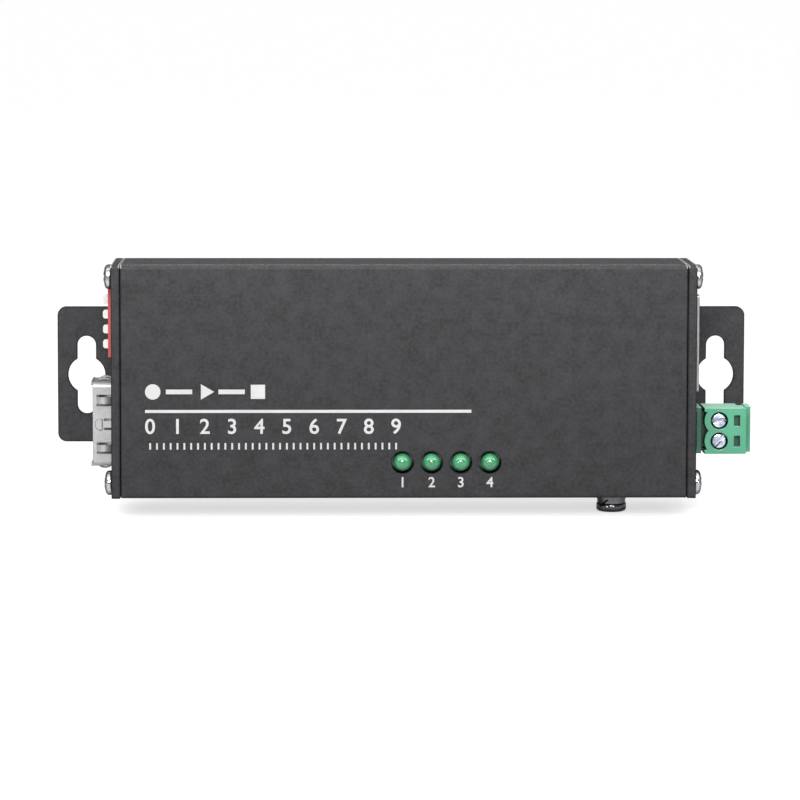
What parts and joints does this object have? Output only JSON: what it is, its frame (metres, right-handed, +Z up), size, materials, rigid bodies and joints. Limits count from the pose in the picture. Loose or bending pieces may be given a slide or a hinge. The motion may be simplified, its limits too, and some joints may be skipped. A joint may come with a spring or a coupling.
{
  "type": "fibre media converter",
  "caption": "Small metal-cased fibre to copper network converter with wall ears, module cage, jack, status lamps, switches and a plug-in power terminal.",
  "frame": {"origin": "centre of the wall plate's back face, midway between the keyholes", "axes": "+X towards the copper and power end, +Y into the wall, +Z up; the lamps face -Y"},
  "size_m": [0.1188, 0.0231, 0.0428],
  "materials": {
    "dark_coat": "fine matt textured powder coat",
    "plated_steel": "bright nickel plate",
    "dark_steel": "dark nickel plate",
    "cage_metal": "bare tinned sheet",
    "spring_metal": "bright spring sheet",
    "red_plastic": "moulded, semi-gloss",
    "white_plastic": "moulded",
    "black_plastic": "moulded",
    "green_lens": "tinted clear resin",
    "terminal_green": "moulded, semi-gloss",
    "gold_contact": "gold plate",
    "tin_contact": "tin plate",
    "board_green": "solder mask",
    "chip_black": "epoxy",
    "ferrite": "sintered ferrite",
    "can_aluminium": "drawn can"
  },
  "bodies": {
    "housing": {"front_cover": "dark_coat", "rear_shell": "dark_coat", "left_end_plate": "dark_coat", "right_end_plate": "dark_coat", "wall_plate": "dark_coat", "left_end_screws": "plated_steel", "right_end_screws": "plated_steel", "wall_plate_screws": "dark_steel", "ground_insert": "tin_contact", "ground_screw": "dark_steel", "ground_spring_washer": "dark_steel", "ground_flat_washer": "dark_steel", "sfp_cage": "cage_metal", "sfp_spring_collar": "spring_metal", "sfp_connector": "black_plastic", "sfp_contacts": "gold_contact", "dip_body": "red_plastic", "dip_pins": "tin_contact", "rj45_shield": "cage_metal", "rj45_insert": "black_plastic", "rj45_contacts": "gold_contact", "terminal_header": "terminal_green", "header_pins": "tin_contact", "led_spacers": "black_plastic", "led_leads": "tin_contact", "circuit_board": "board_green", "network_transformer": "chip_black", "converter_chip": "chip_black", "regulator_chip": "chip_black", "power_inductor": "ferrite", "crystal": "can_aluminium", "capacitors": "can_aluminium", "led_1": "green_lens", "led_2": "green_lens", "led_3": "green_lens", "led_4": "green_lens"},
    "plug": {"terminal_plug": "terminal_green", "plug_contacts": "tin_contact"},
    "dip_slider_1": {"dip_slider_1": "white_plastic"},
    "dip_slider_2": {"dip_slider_2": "white_plastic"},
    "dip_slider_3": {"dip_slider_3": "white_plastic"},
    "dip_slider_4": {"dip_slider_4": "white_plastic"},
    "terminal_screw_1": {"terminal_screw_1": "plated_steel"},
    "terminal_screw_2": {"terminal_screw_2": "plated_steel"},
    "wire_clamp_1": {"wire_clamp_1": "tin_contact"},
    "wire_clamp_2": {"wire_clamp_2": "tin_contact"}
  },
  "joints": [
    {"name": "plug_pull", "type": "slide", "parent": "housing", "child": "plug", "axis": [1, 0, 0], "range_m": [0, 0.009]},
    {"name": "screw_1_turn", "type": "hinge", "parent": "plug", "child": "terminal_screw_1", "pos_m": [0.05378, -0.016, -0.00715], "axis": [0, 1, 0], "range_deg": [0, 1350]},
    {"name": "clamp_1_lift", "type": "slide", "parent": "plug", "child": "wire_clamp_1", "axis": [0, -1, 0], "range_m": [0, 0.0015]},
    {"name": "screw_2_turn", "type": "hinge", "parent": "plug", "child": "terminal_screw_2", "pos_m": [0.05378, -0.016, -0.01065], "axis": [0, 1, 0], "range_deg": [0, 1350]},
    {"name": "clamp_2_lift", "type": "slide", "parent": "plug", "child": "wire_clamp_2", "axis": [0, -1, 0], "range_m": [0, 0.0015]},
    {"name": "dip_1_slide", "type": "slide", "parent": "housing", "child": "dip_slider_1", "axis": [0, -1, 0], "range_m": [0, 0.0018]},
    {"name": "dip_2_slide", "type": "slide", "parent": "housing", "child": "dip_slider_2", "axis": [0, -1, 0], "range_m": [0, 0.0018]},
    {"name": "dip_3_slide", "type": "slide", "parent": "housing", "child": "dip_slider_3", "axis": [0, -1, 0], "range_m": [0, 0.0018]},
    {"name": "dip_4_slide", "type": "slide", "parent": "housing", "child": "dip_slider_4", "axis": [0, -1, 0], "range_m": [0, 0.0018]}
  ],
  "couplings": [
    {"joint": "screw_1_turn", "follows": "clamp_1_lift", "rad_per_m": 15708},
    {"joint": "screw_2_turn", "follows": "clamp_2_lift", "rad_per_m": 15708}
  ]
}
